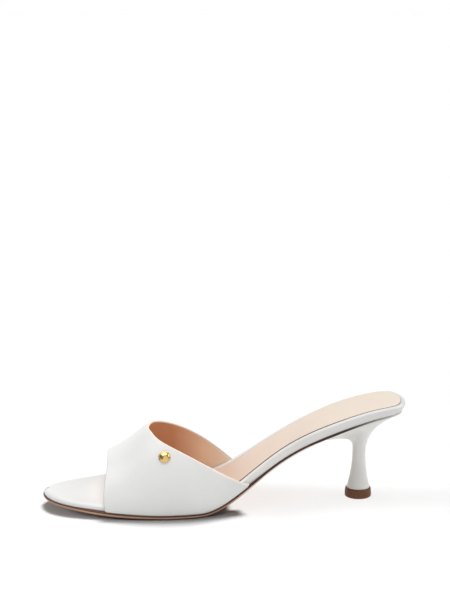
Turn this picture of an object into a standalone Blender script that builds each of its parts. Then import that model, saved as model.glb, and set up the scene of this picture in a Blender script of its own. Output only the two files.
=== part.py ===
"""Open-toe mule on a flared kitten heel, a right shoe, made piece by piece as a shoemaker makes it.

The leather covered insole board is lofted from the last's outline and its side profile. The band
of the upper is lasted round the board and turned under it, into a rebate. The outsole closes it
from below, the sock lies on the board, and the heel's cup follows the outsole's underside.

Sizes are in millimetres until a mesh is made. A place on the shoe is (run, side, height): run is
measured back from the toe tip, side from the heel's axis, with the inner side of the foot
negative, and height from the floor. In the finished model the toe points to -X and the inner side
of the foot to -Y.
"""
import math
from collections import namedtuple

import bmesh
import bpy
import numpy as np
from mathutils import Vector

MM = 0.001

# Driving dimensions, in millimetres.
LENGTH = 232.6          # toe tip to back of the insole board
ORIGIN_RUN = 116.175    # the origin is below the middle of the whole shoe
ORIGIN_SIDE = 2.963
GAP = 0.3               # left between two pieces that touch

BAND_WALL = 1.6         # white leather and its lining together
BAND_CLEARANCE = 0.5    # between the band and the board's side
BAND_PROUD = BAND_WALL + BAND_CLEARANCE
BAND_CORNER = 0.9       # outer radius where the band turns under
LASTING_MARGIN = 7.5    # how far the band runs in under the board
MARGIN_THICK = 1.2      # the skived leather there
MARGIN_SHORT = 1.5      # the margin starts and ends this far inside the band's edges
INSIDE_TURN = (0.15, 0.4)   # how far out the wall's inner face is, where it turns under
INSIDE_RISE = 0.2       # and how far above the margin it stands there
REBATE_SPARE = 0.5      # the board's rebate is this much longer at each end
REBATE_STEP = 0.2       # half the run over which the rebate starts
CREST_SIDE = -4.0       # the ridge of the foot lies towards the inner side
ROUND_INNER = 1.85      # fullness of the band's inner wall, 2 being an ellipse
ROUND_OUTER = 2.15

SOCK_INSET = 3.2        # white border left round the sock
SOCK_THICK = 1.0
SOCK_FRONT = 62.0       # the sock starts under the band
SOCK_SOFT = 0.6         # bevel of its upper edge
BOARD_ROUND = 1.6       # rounded upper edge of the board
BACK_TUCK = 2.4         # the board's side leans in this far at the back of the heel
TUCK_FROM = 190.0
OUTSOLE_BEVEL = 0.6
OUTSOLE_PROUD = 0.3     # the outsole's edge stands out from the board's side
BESIDE_BAND = 1.7       # and this much more where it carries the band

HEEL_RUN = 203.2        # axis of the heel at the floor
HEEL_LEAN = 0.3         # how far the axis has moved back at the throat
TOP_PIECE_HIGH = 6.1
TOP_PIECE_RADIUS = 8.6
HEEL_FOOT_RADIUS = 7.5
THROAT_RADIUS = 4.2
THROAT_HEIGHT = 30.1
LIP_RUN = 173.0         # front edge of the heel's lip, under the waist
SEAT_INSET = 0.3        # heel cup inside the board's outline
SEAT_CORNER = 8.0       # power that rounds the lip's corners, higher is sharper

STUD_RUN = 75.9
STUD_ANGLE = -46.7      # around the band from its crest, in degrees
STUD_RADIUS = 3.8
STUD_HIGH = 1.9
STUD_RIM = 0.6

Outline = namedtuple("Outline", "fraction inner outer")
Profile = namedtuple("Profile", "fraction underside outsole board")
Edge = namedtuple("Edge", "angle front collar")
Crest = namedtuple("Crest", "run height")
Flare = namedtuple("Flare", "azimuth start wall")

# Half widths of the insole board on each side of the heel's axis, by fraction of the length.
OUTLINE = [
    Outline(0.0000, 0.0, 0.0),
    Outline(0.0245, 16.5, 12.0),
    Outline(0.0955, 27.5, 25.5),
    Outline(0.2061, 34.5, 40.5),
    Outline(0.3455, 37.0, 41.0),
    Outline(0.4300, 34.0, 34.5),
    Outline(0.5000, 27.3, 28.5),
    Outline(0.6545, 19.5, 22.0),
    Outline(0.7939, 24.5, 22.5),
    Outline(0.9045, 23.5, 23.5),
    Outline(0.9755, 18.5, 20.2),
    Outline(1.0000, 0.0, 0.0),
]

# Height of the sole's underside, and upright thickness of the outsole and the insole board.
# A height below the floor is taken as 0: the sole bears there.
PROFILE = [
    Profile(0.00, 5.7, 1.7, 3.4),
    Profile(0.12, 2.4, 2.7, 3.7),
    Profile(0.30, 0.1, 2.3, 4.1),
    Profile(0.40, -0.2, 2.2, 4.6),
    Profile(0.44, 0.3, 2.2, 4.9),
    Profile(0.48, 2.9, 2.3, 5.3),
    Profile(0.56, 13.6, 2.7, 5.7),
    Profile(0.65, 28.9, 2.3, 5.6),
    Profile(0.74, 41.5, 1.8, 5.5),
    Profile(0.82, 49.9, 1.5, 5.2),
    Profile(0.91, 56.0, 0.9, 5.1),
    Profile(1.00, 58.9, 0.8, 4.8),
]

# Runs where the band starts and ends, by angle round it from its crest. The inner side is at -90.
BAND_EDGES = [
    Edge(-90, 38.4, 129.2),
    Edge(-60, 38.0, 102.1),
    Edge(-35, 39.6, 76.2),
    Edge(-12, 40.3, 67.9),
    Edge(0, 40.4, 66.7),
    Edge(15, 40.8, 69.0),
    Edge(35, 41.7, 77.9),
    Edge(60, 42.9, 102.1),
    Edge(90, 45.0, 126.6),
]

# Height of the band's crest over the floor. Behind the collar it only shapes the sides.
CREST = [
    Crest(38, 31.7),
    Crest(52, 39.2),
    Crest(66, 50.0),
    Crest(90, 59.6),
    Crest(130, 73.7),
]

# Side of the top piece: how far inside its radius, and the share of its height.
TOP_PIECE_SIDE = [(1.0, 0.0), (0.3, 0.05), (0.0, 0.18), (0.0, 0.5), (0.15, 0.82), (0.4, 1.0)]

# How the heel opens from its throat to its seat, by azimuth from straight back.
# A higher start keeps the stem slim for longer, and a higher wall makes the cup's side more upright.
FLARE = [
    Flare(0, 2.1, 1.1),
    Flare(45, 2.3, 1.05),
    Flare(90, 3.0, 1.9),
    Flare(135, 6.3, 1.1),
    Flare(180, 5.4, 1.05),
]


def smooth_curve(xs, ys):
    """Natural cubic spline through the points, as a function."""
    xs = np.array(xs, float)
    ys = np.array(ys, float)
    steps = np.diff(xs)
    count = len(xs)
    matrix = np.eye(count)
    right = np.zeros(count)
    for i in range(1, count - 1):
        matrix[i, i - 1:i + 2] = steps[i - 1], 2 * (steps[i - 1] + steps[i]), steps[i]
        right[i] = 6 * ((ys[i + 1] - ys[i]) / steps[i] - (ys[i] - ys[i - 1]) / steps[i - 1])
    bend = np.linalg.solve(matrix, right)

    def value(x):
        i = np.clip(np.searchsorted(xs, x) - 1, 0, count - 2)
        step = steps[i]
        before = (xs[i + 1] - x) / step
        after = (x - xs[i]) / step
        line = before * ys[i] + after * ys[i + 1]
        curl = (before ** 3 - before) * bend[i] + (after ** 3 - after) * bend[i + 1]
        return line + curl * step ** 2 / 6

    return value


def column(rows, name):
    return [getattr(row, name) for row in rows]


def turn_of(fraction):
    """The outline is smooth in this angle, 0 at the toe tip and pi at the back."""
    return np.arccos(1 - 2 * np.clip(fraction, 0, 1))


_turns = turn_of(np.array(column(OUTLINE, "fraction")))
width_by_side = {
    -1: smooth_curve(_turns, column(OUTLINE, "inner")),
    1: smooth_curve(_turns, column(OUTLINE, "outer")),
}
_fractions = column(PROFILE, "fraction")
_underside = smooth_curve(_fractions, column(PROFILE, "underside"))
_outsole = smooth_curve(_fractions, column(PROFILE, "outsole"))
_board = smooth_curve(_fractions, column(PROFILE, "board"))
_angles = column(BAND_EDGES, "angle")
band_front = smooth_curve(_angles, column(BAND_EDGES, "front"))
band_collar = smooth_curve(_angles, column(BAND_EDGES, "collar"))
crest_height = smooth_curve(column(CREST, "run"), column(CREST, "height"))


def underside(run):
    """The sole's underside, level with the floor where it bears."""
    return max(0.0, float(_underside(run / LENGTH)))


def upright(distance, run):
    """A distance square to the sloping sole, measured upright."""
    slope = (_underside((run + 1) / LENGTH) - _underside((run - 1) / LENGTH)) / 2
    return distance * math.hypot(1, slope)


def outsole_top(run):
    return underside(run) + float(_outsole(run / LENGTH))


def board_bottom(run):
    return outsole_top(run) + upright(GAP, run)


def board_top(run):
    return board_bottom(run) + float(_board(run / LENGTH))


def edge_at(side, turn, out=0.0):
    """(run, side) of the board's outline at this turn, moved out square to it."""
    step = 1e-4
    width = width_by_side[side]
    along_run = LENGTH / 2 * math.sin(turn)
    along_side = float(width(turn + step) - width(turn - step)) / (2 * step)
    size = math.hypot(along_run, along_side)
    run = LENGTH / 2 * (1 - math.cos(turn))
    return run - out * along_side / size, side * (float(width(turn)) + out * along_run / size)


def edge_at_run(side, run, out=0.0):
    return edge_at(side, float(turn_of(run / LENGTH)), out)


def bump(x, rise_from, rise_to, fall_from, fall_to):
    """0, then smoothly 1, then smoothly 0 again."""
    up = np.clip((x - rise_from) / (rise_to - rise_from), 0, 1)
    down = np.clip((fall_to - x) / (fall_to - fall_from), 0, 1)
    return float(up * up * (3 - 2 * up) * down * down * (3 - 2 * down))


def new_material(name, colour, roughness, metallic=0.0):
    material = bpy.data.materials.new(name)
    material.use_nodes = True
    shader = material.node_tree.nodes["Principled BSDF"]
    shader.inputs["Base Color"].default_value = (*colour, 1)
    shader.inputs["Roughness"].default_value = roughness
    shader.inputs["Metallic"].default_value = metallic
    return material


def new_object(name, bm, material, sharp=40):
    bmesh.ops.recalc_face_normals(bm, faces=bm.faces)
    mesh = bpy.data.meshes.new(name)
    bm.to_mesh(mesh)
    bm.free()
    mesh.materials.append(material)
    mesh.shade_smooth()
    mesh.set_sharp_from_angle(angle=math.radians(sharp))
    thing = bpy.data.objects.new(name, mesh)
    bpy.context.scene.collection.objects.link(thing)
    return thing


def place(run, side, height):
    return ((run - ORIGIN_RUN) * MM, (side - ORIGIN_SIDE) * MM, height * MM)


def chain(turns, out_of, height_of):
    """Points down the outer side of the foot, round the back and up the inner side."""
    points = []
    for side, order in ((1, turns), (-1, turns[::-1])):
        for turn in order:
            if side == -1 and turn == turns[-1]:
                continue                            # the point at the back is shared
            own_run = LENGTH / 2 * (1 - math.cos(turn))
            run, across = edge_at(side, turn, out_of(side, own_run))
            points.append(place(run, across, height_of(side, own_run, run)))
    return points


def loft_chains(chains):
    """A closed body from chains of equal length, the lowest first, capped straight across."""
    bm = bmesh.new()
    loops = [[bm.verts.new(point) for point in points] for points in chains]
    count = len(loops[0])
    for low, high in zip(loops, loops[1:]):
        for i in range(count):
            j = (i + 1) % count
            bm.faces.new((low[i], low[j], high[j], high[i]))
    for loop in (loops[0], loops[-1]):
        for i in range(count // 2 - 1):
            bm.faces.new((loop[i], loop[i + 1], loop[-2 - i], loop[-1 - i]))
        middle = count // 2
        bm.faces.new((loop[middle - 1], loop[middle], loop[middle + 1]))
    return bm


def chain_turns(count, first_run=0.05, also=()):
    """Turns from the toe to the back, close together at both ends, with extra ones at given runs."""
    start = float(turn_of(first_run / LENGTH))
    turns = list(np.linspace(start, math.pi, count))
    spacing = turns[1] - turns[0]
    for run in also:
        extra = float(turn_of(run / LENGTH))
        turns = [turn for turn in turns if abs(turn - extra) > spacing / 3 or turn in (start, math.pi)]
    turns += [float(turn_of(run / LENGTH)) for run in also]
    return sorted(turns)


def margin_ends(side):
    """Runs where the lasting margin starts and ends on one side."""
    return (float(band_front(90 * side)) + MARGIN_SHORT, float(band_collar(90 * side)) - MARGIN_SHORT)


def rebate_depth(side, own_run, run):
    """How deep the board's underside is cut back for the lasting margin."""
    front, back = margin_ends(side)
    inside = front - REBATE_SPARE < own_run < back + REBATE_SPARE
    return upright(MARGIN_THICK + GAP, run) if inside else 0.0


def back_tuck(run):
    """How far the board's lower edge, the outsole and the heel seat lie inside its upper edge."""
    return BACK_TUCK * bump(run, TUCK_FROM, LENGTH, 2 * LENGTH, 3 * LENGTH)


def outsole_out(run):
    """How far the outsole's edge lies outside the board's outline."""
    beside_band = BESIDE_BAND * bump(run, 14, 48, 118, 146)
    return OUTSOLE_PROUD + beside_band - back_tuck(run)


def make_outsole(material):
    turns = chain_turns(56)

    def bevel_top(run):
        return underside(run) + min(OUTSOLE_BEVEL, (outsole_top(run) - underside(run)) / 3)

    chains = []
    for more, high in ((-OUTSOLE_BEVEL, underside), (0.0, bevel_top), (0.0, outsole_top)):
        chains.append(chain(
            turns,
            lambda side, own_run, more=more: outsole_out(own_run) + more,
            lambda side, own_run, run, high=high: high(run),
        ))
    return new_object("outsole", loft_chains(chains), material)


def make_insole_board(material):
    steps = []
    for side in (-1, 1):
        front, back = margin_ends(side)
        for end in (front - REBATE_SPARE, back + REBATE_SPARE):
            steps += [end - REBATE_STEP, end + REBATE_STEP]
    turns = chain_turns(48, also=steps)
    rebate_side = -(LASTING_MARGIN + GAP)
    eased = (1 - math.cos(math.radians(45))) * BOARD_ROUND

    def flat(side, own_run, run):
        return board_bottom(run)

    def rebate_roof(side, own_run, run):
        return board_bottom(run) + rebate_depth(side, own_run, run)

    def below_top(depth):
        return lambda side, own_run, run: board_top(run) - depth

    # each row: how far out from the outline, share of the tuck at the back, height
    rows = [
        (rebate_side - 2 * REBATE_STEP, 0, flat),
        (rebate_side, 0, rebate_roof),
        (0.0, 1, rebate_roof),
        (0.0, 0, below_top(BOARD_ROUND)),
        (-eased, 0, below_top(eased)),
        (-BOARD_ROUND, 0, below_top(0.0)),
    ]
    chains = [
        chain(turns, lambda side, own_run, out=out, share=share: out - share * back_tuck(own_run), high)
        for out, share, high in rows
    ]
    return new_object("insole_board", loft_chains(chains), material)


def make_sock(material):
    turns = chain_turns(44, first_run=SOCK_FRONT)

    def lift(distance):
        return lambda side, own_run, run: board_top(run) + upright(distance, run)

    rows = [
        (-SOCK_INSET, lift(GAP)),
        (-SOCK_INSET, lift(GAP + SOCK_THICK - SOCK_SOFT)),
        (-SOCK_INSET - SOCK_SOFT, lift(GAP + SOCK_THICK)),
    ]
    chains = [chain(turns, lambda side, own_run, out=out: out, high) for out, high in rows]
    return new_object("sock", loft_chains(chains), material)


def band_point(run, angle):
    """Outer face of the band at a run along its crest line, angle degrees round it."""
    side = -1 if angle < 0 else 1
    fullness = ROUND_INNER if angle < 0 else ROUND_OUTER
    turned = math.radians(abs(angle))
    foot_run, foot_side = edge_at_run(side, run, BAND_PROUD)
    foot_height = board_bottom(foot_run) + upright(BAND_CORNER, foot_run)
    across = math.sin(turned) ** (2 / fullness)
    over = max(0.0, math.cos(turned)) ** (2 / fullness)
    return np.array([
        run + (foot_run - run) * math.sin(turned) ** 2,
        CREST_SIDE + (foot_side - CREST_SIDE) * across,
        foot_height + (float(crest_height(run)) - foot_height) * over,
    ])


def band_normal(run, angle):
    """Outward direction square to the band."""
    along = band_point(run + 0.5, angle) - band_point(run - 0.5, angle)
    around = band_point(run, min(88, angle + 1)) - band_point(run, max(-88, angle - 1))
    normal = np.cross(along, around)
    return normal / np.linalg.norm(normal)


def band_wall_pair(share, angle):
    """Outer and inner point of the wall, at a share of the way from front edge to collar."""
    run = float(band_front(angle) * (1 - share) + band_collar(angle) * share)
    outer = band_point(run, angle)
    return outer, outer - BAND_WALL * band_normal(run, angle)


def foot_point(side, outline_run, out, up):
    """A point moved out from the board's outline and up from its underside."""
    run, across = edge_at_run(side, outline_run, out)
    return np.array([run, across, board_bottom(run) + upright(up, run)])


def band_foot_pairs(share, side):
    """Outer and inner points of the turned-under margin, from its inner end out to the wall."""
    thin = MARGIN_THICK
    eased = (1 - math.cos(math.radians(45))) * BAND_CORNER
    # each row: outer face out and up, inner face out and up, shortening at the band's edges
    rows = [
        (-LASTING_MARGIN, 0.0, -LASTING_MARGIN, thin, MARGIN_SHORT),
        (-LASTING_MARGIN / 2, 0.0, -LASTING_MARGIN / 2, thin, MARGIN_SHORT),
        (BAND_PROUD - BAND_CORNER, 0.0, INSIDE_TURN[0], thin, MARGIN_SHORT),
        (BAND_PROUD - eased, eased, INSIDE_TURN[1], thin, MARGIN_SHORT / 2),
        (BAND_PROUD, BAND_CORNER, BAND_CLEARANCE, thin + INSIDE_RISE, 0.0),
    ]
    pairs = []
    for out, up, in_out, in_up, short in rows:
        front = float(band_front(90 * side)) + short
        back = float(band_collar(90 * side)) - short
        run = front * (1 - share) + back * share
        pairs.append((foot_point(side, run, out, up), foot_point(side, run, in_out, in_up)))
    return pairs


def make_vamp(material):
    """The band: one hollow wall over the foot, open at the toe, the collar and underneath."""
    angles = [*np.arange(-87, 0, 5), 0, *np.arange(87, 0, -5)[::-1]]
    shares = np.linspace(0, 1, 15)
    bm = bmesh.new()
    outer_grid, inner_grid = [], []
    for share in shares:
        pairs = band_foot_pairs(share, -1)
        pairs += [band_wall_pair(share, float(angle)) for angle in angles]
        pairs += band_foot_pairs(share, 1)[::-1]
        outer_grid.append([bm.verts.new(place(*outer)) for outer, _ in pairs])
        inner_grid.append([bm.verts.new(place(*inner)) for _, inner in pairs])
    last_row, last = len(shares) - 1, len(outer_grid[0]) - 1
    for grid in (outer_grid, inner_grid):
        for row, following in zip(grid, grid[1:]):
            for i in range(last):
                bm.faces.new((row[i], row[i + 1], following[i + 1], following[i]))
    for k in (0, last_row):
        for i in range(last):
            bm.faces.new((outer_grid[k][i], outer_grid[k][i + 1], inner_grid[k][i + 1], inner_grid[k][i]))
    for i in (0, last):
        for k in range(last_row):
            bm.faces.new((outer_grid[k][i], outer_grid[k + 1][i], inner_grid[k + 1][i], inner_grid[k][i]))
    return new_object("vamp", bm, material)


def seat_outline(count):
    """The heel seat as azimuths in degrees and (run, side) points round the heel's axis."""
    turns = np.linspace(0.02, math.pi, 200)
    insets = [SEAT_INSET + back_tuck(LENGTH / 2 * (1 - math.cos(turn))) for turn in turns]
    around = [edge_at(1, turn, -inset) for turn, inset in zip(turns, insets)]
    around += [edge_at(-1, turn, -inset) for turn, inset in zip(turns[::-1], insets[::-1])]
    offsets = np.array(around) - (HEEL_RUN, 0)
    azimuths = np.degrees(np.arctan2(offsets[:, 1], offsets[:, 0]))
    order = np.argsort(azimuths)
    wanted = np.arange(count) * 360 / count - 180
    radii = np.interp(wanted, azimuths[order], np.linalg.norm(offsets, axis=1)[order], period=360)
    seat = []
    for azimuth, radius in zip(wanted, radii):
        forward = -math.cos(math.radians(azimuth))
        if forward > 0.01:
            to_lip = (HEEL_RUN - LIP_RUN) / forward
            radius = (radius ** -SEAT_CORNER + to_lip ** -SEAT_CORNER) ** (-1 / SEAT_CORNER)
        turned = math.radians(azimuth)
        seat.append((azimuth, HEEL_RUN + radius * math.cos(turned), radius * math.sin(turned)))
    return seat


def heel_seat_height(run):
    return underside(run) - upright(GAP, run)


def make_heel(material):
    """A hollow-waisted stem that opens into a cup under the seat, with a lip forward under the waist."""
    seat = seat_outline(64)
    start_of = smooth_curve(column(FLARE, "azimuth"), column(FLARE, "start"))
    wall_of = smooth_curve(column(FLARE, "azimuth"), column(FLARE, "wall"))
    foot = TOP_PIECE_HIGH + GAP
    rings = []
    for share in np.linspace(0, 1, 9):
        height = foot + (THROAT_HEIGHT - foot) * share
        radius = THROAT_RADIUS + (HEEL_FOOT_RADIUS - THROAT_RADIUS) * (1 - share) ** 2
        axis = HEEL_RUN + HEEL_LEAN * height / THROAT_HEIGHT
        rings.append([
            (axis + radius * math.cos(math.radians(a)), radius * math.sin(math.radians(a)), height)
            for a, _, _ in seat
        ])
    throat_axis = HEEL_RUN + HEEL_LEAN
    for rise in np.linspace(0, 1, 17)[1:]:
        ring = []
        for azimuth, run, across in seat:
            top = heel_seat_height(run)
            start = float(start_of(abs(azimuth)))
            wall = float(wall_of(abs(azimuth)))
            opened = 1 - (1 - rise ** start) ** wall
            stem_run = throat_axis + THROAT_RADIUS * math.cos(math.radians(azimuth))
            stem_side = THROAT_RADIUS * math.sin(math.radians(azimuth))
            ring.append((
                stem_run + (run - stem_run) * opened,
                stem_side + (across - stem_side) * opened,
                THROAT_HEIGHT + (top - THROAT_HEIGHT) * rise,
            ))
        rings.append(ring)
    for share in (0.75, 0.5, 0.25):
        ring = [(HEEL_RUN + (run - HEEL_RUN) * share, across * share) for _, run, across in seat]
        rings.append([(run, across, heel_seat_height(run)) for run, across in ring])
    bm = bmesh.new()
    loops = [[bm.verts.new(place(*point)) for point in ring] for ring in rings]
    count = len(seat)
    for low, high in zip(loops, loops[1:]):
        for i in range(count):
            j = (i + 1) % count
            bm.faces.new((low[i], low[j], high[j], high[i]))
    bm.faces.new(loops[0][::-1])
    crown = bm.verts.new(place(HEEL_RUN, 0, heel_seat_height(HEEL_RUN)))
    for i in range(count):
        bm.faces.new((loops[-1][i], loops[-1][(i + 1) % count], crown))
    return new_object("heel", bm, material)


def turned_body(profile, count):
    """A closed body turned round +Z from (radius, height) points, lowest first."""
    bm = bmesh.new()
    loops = []
    for radius, height in profile:
        ring = bmesh.ops.create_circle(bm, cap_ends=False, segments=count, radius=radius)["verts"]
        bmesh.ops.translate(bm, verts=ring, vec=(0, 0, height))
        loops.append(ring)
    for low, high in zip(loops, loops[1:]):
        for i in range(count):
            j = (i + 1) % count
            bm.faces.new((low[i], low[j], high[j], high[i]))
    bm.faces.new(loops[0][::-1])
    bm.faces.new(loops[-1])
    return bm


def make_top_piece(material):
    profile = [
        ((TOP_PIECE_RADIUS - inside) * MM, share * TOP_PIECE_HIGH * MM) for inside, share in TOP_PIECE_SIDE
    ]
    bm = turned_body(profile, 48)
    bmesh.ops.translate(bm, verts=bm.verts, vec=place(HEEL_RUN, 0, 0))
    return new_object("top_piece", bm, material)


def make_stud(material):
    """A plain domed stud, its flat back just clear of the band's inner wall side."""
    dome = [
        (STUD_RADIUS * math.cos(a), STUD_RIM + (STUD_HIGH - STUD_RIM) * math.sin(a))
        for a in np.radians([0, 25, 50, 72])
    ]
    profile = [(radius * MM, height * MM) for radius, height in [(STUD_RADIUS, 0.0), *dome]]
    bm = turned_body(profile, 32)
    normal = Vector(band_normal(STUD_RUN, STUD_ANGLE))
    base = Vector(place(*band_point(STUD_RUN, STUD_ANGLE))) + normal * GAP * MM
    turn = normal.to_track_quat("Z", "Y").to_matrix().to_4x4()
    turn.translation = base
    bmesh.ops.transform(bm, matrix=turn, verts=bm.verts)
    return new_object("stud", bm, material)


def main():
    for thing in list(bpy.data.objects):
        bpy.data.objects.remove(thing)
    white = new_material("white_leather", (0.84, 0.84, 0.83), 0.38)
    board_white = new_material("board_white_leather", (0.85, 0.85, 0.84), 0.42)
    heel_white = new_material("heel_white_leather", (0.80, 0.80, 0.78), 0.38)
    nude = new_material("nude_leather", (0.84, 0.72, 0.62), 0.5)
    tan = new_material("sole_leather", (0.20, 0.10, 0.06), 0.45)
    brown = new_material("brown_rubber", (0.14, 0.06, 0.03), 0.5)
    gold = new_material("gold_metal", (0.83, 0.60, 0.27), 0.25, 1.0)
    make_outsole(tan)
    make_insole_board(board_white)
    make_sock(nude)
    make_vamp(white)
    make_heel(heel_white)
    make_top_piece(brown)
    make_stud(gold)


main()
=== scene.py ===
"""Looks of the open-toe mule: leathers, lining, edges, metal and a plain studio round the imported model.

Every CAD node is replaced by a finer piece of the same shape. Sizes are in millimetres until a mesh is
made. A place on the shoe is (run, side, height): run is measured back from the toe tip, side from the
heel's axis, with the inner side of the foot negative, and height from the floor.
"""

import math
from collections import namedtuple

import bmesh
import bpy
import numpy as np
from mathutils import Matrix, Vector


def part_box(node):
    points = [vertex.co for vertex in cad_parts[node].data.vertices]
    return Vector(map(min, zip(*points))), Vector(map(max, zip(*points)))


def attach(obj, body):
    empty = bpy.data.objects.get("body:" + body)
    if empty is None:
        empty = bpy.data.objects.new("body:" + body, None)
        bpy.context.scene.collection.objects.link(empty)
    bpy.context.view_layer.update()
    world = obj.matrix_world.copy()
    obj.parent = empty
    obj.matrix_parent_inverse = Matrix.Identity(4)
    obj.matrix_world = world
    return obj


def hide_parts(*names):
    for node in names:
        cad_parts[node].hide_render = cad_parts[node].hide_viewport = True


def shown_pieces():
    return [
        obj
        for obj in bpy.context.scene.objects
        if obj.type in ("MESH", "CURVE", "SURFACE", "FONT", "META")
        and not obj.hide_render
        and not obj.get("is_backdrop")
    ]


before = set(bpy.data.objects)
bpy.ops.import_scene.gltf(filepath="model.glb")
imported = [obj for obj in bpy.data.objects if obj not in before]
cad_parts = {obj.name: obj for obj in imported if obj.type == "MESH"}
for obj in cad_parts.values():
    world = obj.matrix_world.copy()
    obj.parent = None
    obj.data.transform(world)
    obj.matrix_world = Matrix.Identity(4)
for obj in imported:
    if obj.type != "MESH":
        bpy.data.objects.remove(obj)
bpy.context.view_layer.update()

MM = 0.001

LENGTH = 232.6          # toe tip to back of the insole board

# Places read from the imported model.
_top_lo, _top_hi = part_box("top_piece")
ORIGIN_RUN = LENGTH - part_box("insole_board")[1].x / MM
ORIGIN_SIDE = -(_top_lo.y + _top_hi.y) / 2 / MM
HEEL_RUN = (_top_lo.x + _top_hi.x) / 2 / MM + ORIGIN_RUN
TOP_PIECE_HIGH = _top_hi.z / MM
TOP_PIECE_RADIUS = (_top_hi.x - _top_lo.x) / 2 / MM

# The shoe's sizes, as its solids have them.
GAP = 0.3               # left between two solids that touch
BAND_WALL = 1.6         # white leather and its lining together
BAND_CLEARANCE = 0.5    # between the band and the board's side
BAND_PROUD = BAND_WALL + BAND_CLEARANCE
BAND_CORNER = 0.9       # outer radius where the band turns under
LASTING_MARGIN = 7.5    # how far the band runs in under the board
MARGIN_THICK = 1.2      # the skived leather there
MARGIN_SHORT = 1.5      # the margin starts and ends this far inside the band's edges
REBATE_SPARE = 0.5      # the board's rebate is this much longer at each end
REBATE_STEP = 0.2       # half the run over which the rebate starts
CREST_SIDE = -4.0       # the ridge of the foot lies towards the inner side
ROUND_INNER = 1.85      # fullness of the band's inner wall, 2 being an ellipse
ROUND_OUTER = 2.15
SOCK_INSET = 3.2        # white border left round the sock
SOCK_FRONT = 62.0       # the sock starts under the band
BOARD_ROUND = 1.6       # rounded upper edge of the board
BACK_TUCK = 2.4         # the board's side leans in this far at the back of the heel
TUCK_FROM = 190.0
OUTSOLE_PROUD = 0.3     # the outsole's edge stands out from the board's side
BESIDE_BAND = 1.7       # and this much more where it carries the band
HEEL_LEAN = 0.3         # how far the heel's axis has moved back at the throat
HEEL_FOOT_RADIUS = 7.5
THROAT_RADIUS = 4.2
THROAT_HEIGHT = 30.1
LIP_RUN = 173.0         # front edge of the heel's lip, under the waist
SEAT_INSET = 0.3        # heel cup inside the board's outline
SEAT_CORNER = 8.0       # power that rounds the lip's corners, higher is sharper
STUD_RUN = 75.9
STUD_ANGLE = -46.7      # round the band from its crest, in degrees
STUD_RADIUS = 3.8
STUD_HIGH = 1.9

# What only the finished surfaces have.
TOUCH = 0.03            # left between two pieces that lie on each other
TIP_RUN = 0.02          # pieces start here, where the outline already has some width
LINING_THICK = 0.28
LINING_SHORT = 0.4      # rim left above the lining
LINING_GAP = 0.01       # between upper and lining, as a share of the wall
RIM_TRIM = 0.8          # the upper's edges are trimmed by this share of half the wall, then rounded
FOLD_ARC = 0.75         # a degree round the band, where the folds are placed
SOCK_HIGH = 1.0         # edge of the sock above the board
SOCK_EDGE = 0.8         # height of the sock's cut edge, below its rounded top
SOCK_FAR = 1.4          # the border is this much wider at the outer side of the waist
SOCK_GAP = 0.3          # between the sock and the board's raised border
SOCK_PAD = 0.4          # the sock's padding swells it this much
BOARD_CORNER = 0.3      # the board's softened lower edge
SOLE_LIFT = 0.7         # the sole's underside rises this much towards its edges
SOLE_LIFT_LOST = 0.6    # share of that which is lost from the waist back
SOLE_LIFT_REACH = 9.0
SOLE_CORNER = 0.25      # height of the sole's softened lower edge
CUP_RISE = 0.25         # the heel cup's rim rises to meet that edge
HEEL_FOOT_SOFT = 0.35   # softened lower edge of the heel
TIP_PROUD = 0.4         # the sole stands out further round the tip of the toe
TOE_ROUND = (3.4, 2.6)  # softer edge of the open toe, across and down
BOARD_SPLIT = 119.0     # the board's covering is joined here, under the band
TOP_PIECE_ROUND = 1.1   # lower edge of the top piece
DOME_FOOT = 0.62        # the stud's dome starts at this height, inside its rim

# How finely the long pieces are divided from toe to back.
OUTSOLE_TURNS = 220
BOARD_TURNS = 130
SOCK_TURNS = 190
BAND_SHARES = 84

# The camera: place, degrees that it looks down and turns, and lens.
CAMERA_PLACE = (35.86, -952.55, 313.56)
CAMERA_DOWN = 10.79
CAMERA_TURN = 4.82
CAMERA_LENS = 92.31
CAMERA_SENSOR = 36.0
CAMERA_REACH = 200.0    # metres

# The studio.
WORLD_FILL = 0.17       # strength of the surroundings as a light
FLOOR_DARK = (0.50, 0.50, 0.50)
FLOOR_PALE = (0.52, 0.52, 0.52)
FLOOR_REACH = 60.0      # metres
FLOOR_SHADERS = ("upper_leather", "upper_lining", "board_covering_front")

Outline = namedtuple("Outline", "fraction inner outer")
Profile = namedtuple("Profile", "fraction underside outsole board")
Edge = namedtuple("Edge", "angle front collar")
Crest = namedtuple("Crest", "run height")
Flare = namedtuple("Flare", "azimuth start wall")
Fold = namedtuple("Fold", "run angle long wide turn depth")
Rim = namedtuple("Rim", "run inner outer lip")
Stop = namedtuple("Stop", "run colour")
Light = namedtuple("Light", "name towards strength softness lights shaded_by")

# Half widths of the insole board on each side of the heel's axis, by fraction of the length.
OUTLINE = [
    Outline(0.0000, 0.0, 0.0),
    Outline(0.0245, 16.5, 12.0),
    Outline(0.0955, 27.5, 25.5),
    Outline(0.2061, 34.5, 40.5),
    Outline(0.3455, 37.0, 41.0),
    Outline(0.4300, 34.0, 34.5),
    Outline(0.5000, 27.3, 28.5),
    Outline(0.6545, 19.5, 22.0),
    Outline(0.7939, 24.5, 22.5),
    Outline(0.9045, 23.5, 23.5),
    Outline(0.9755, 18.5, 20.2),
    Outline(1.0000, 0.0, 0.0),
]

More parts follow.
